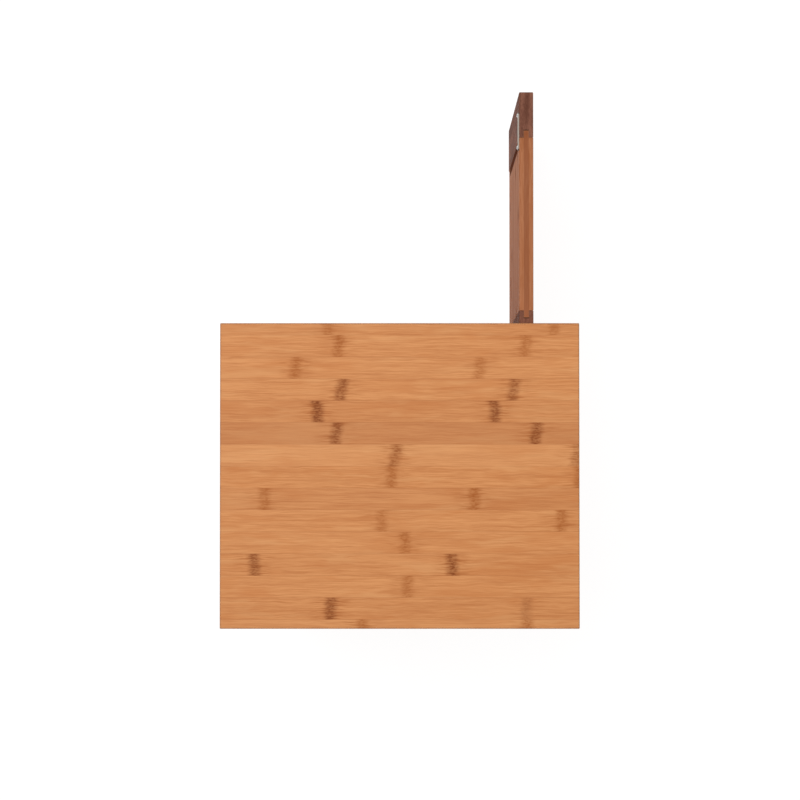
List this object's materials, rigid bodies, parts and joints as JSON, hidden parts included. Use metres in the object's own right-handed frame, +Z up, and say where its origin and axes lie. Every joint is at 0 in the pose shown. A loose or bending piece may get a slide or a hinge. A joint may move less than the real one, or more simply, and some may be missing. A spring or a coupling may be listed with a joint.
{
  "type": "folding tray table",
  "caption": "Bamboo tray table on a folding screen base: two walnut-edged gates swing square to a centre frame and the tray lifts off.",
  "frame": {"origin": "on the floor, under the middle of the open table's whole outline", "axes": "+X to the right along the centre frame, +Y to the back where the right gate stands out, +Z up"},
  "size_m": [0.48, 0.72, 0.52],
  "materials": {
    "bamboo_tray": "satin lacquered flat-pressed bamboo",
    "bamboo_panel": "satin lacquered three-layer bamboo board",
    "walnut": "oiled walnut",
    "walnut_inlay": "oiled dark walnut",
    "plate_steel": "brushed",
    "pin_steel": "turned",
    "screw_steel": "zinc plated",
    "brass": "turned",
    "nylon": "matt"
  },
  "bodies": {
    "centre_frame": {"centre_stile_left": "walnut", "centre_stile_right": "walnut", "centre_panel": "bamboo_panel", "centre_bushes": "brass", "centre_glides": "nylon", "back_magnet_plate": "plate_steel", "front_magnet_plate": "plate_steel", "magnet_plate_screws": "screw_steel", "right_fixed_leaf_upper": "plate_steel", "right_fixed_leaf_lower": "plate_steel", "right_hinge_pin_upper": "pin_steel", "right_hinge_pin_lower": "pin_steel", "right_fixed_leaf_screws": "screw_steel", "left_fixed_leaf_upper": "plate_steel", "left_fixed_leaf_lower": "plate_steel", "left_hinge_pin_upper": "pin_steel", "left_hinge_pin_lower": "pin_steel", "left_fixed_leaf_screws": "screw_steel"},
    "tray": {"tray_board": "bamboo_tray", "tray_pegs": "brass"},
    "right_gate": {"right_gate_hinge_stile": "walnut", "right_gate_outer_stile": "walnut", "right_gate_panel": "bamboo_panel", "right_gate_inlay": "walnut_inlay", "right_gate_leaf_upper": "plate_steel", "right_gate_leaf_lower": "plate_steel", "right_gate_leaf_screws": "screw_steel", "right_strike_plate": "plate_steel", "right_strike_screws": "screw_steel", "right_gate_glides": "nylon"},
    "left_gate": {"left_gate_hinge_stile": "walnut", "left_gate_outer_stile": "walnut", "left_gate_panel": "bamboo_panel", "left_gate_inlay": "walnut_inlay", "left_gate_leaf_upper": "plate_steel", "left_gate_leaf_lower": "plate_steel", "left_gate_leaf_screws": "screw_steel", "left_strike_plate": "plate_steel", "left_strike_screws": "screw_steel", "left_gate_glides": "nylon"}
  },
  "joints": [
    {"name": "right_gate_swing", "type": "hinge", "parent": "centre_frame", "child": "right_gate", "pos_m": [0.1573, 0.0232, 0], "axis": [0, 0, 1], "range_deg": [0, 90]},
    {"name": "left_gate_swing", "type": "hinge", "parent": "centre_frame", "child": "left_gate", "pos_m": [-0.1573, -0.0022, 0], "axis": [0, 0, 1], "range_deg": [0, 90]},
    {"name": "tray_lift", "type": "slide", "parent": "centre_frame", "child": "tray", "axis": [0, 0, 1], "range_m": [0, 0.03]}
  ]
}
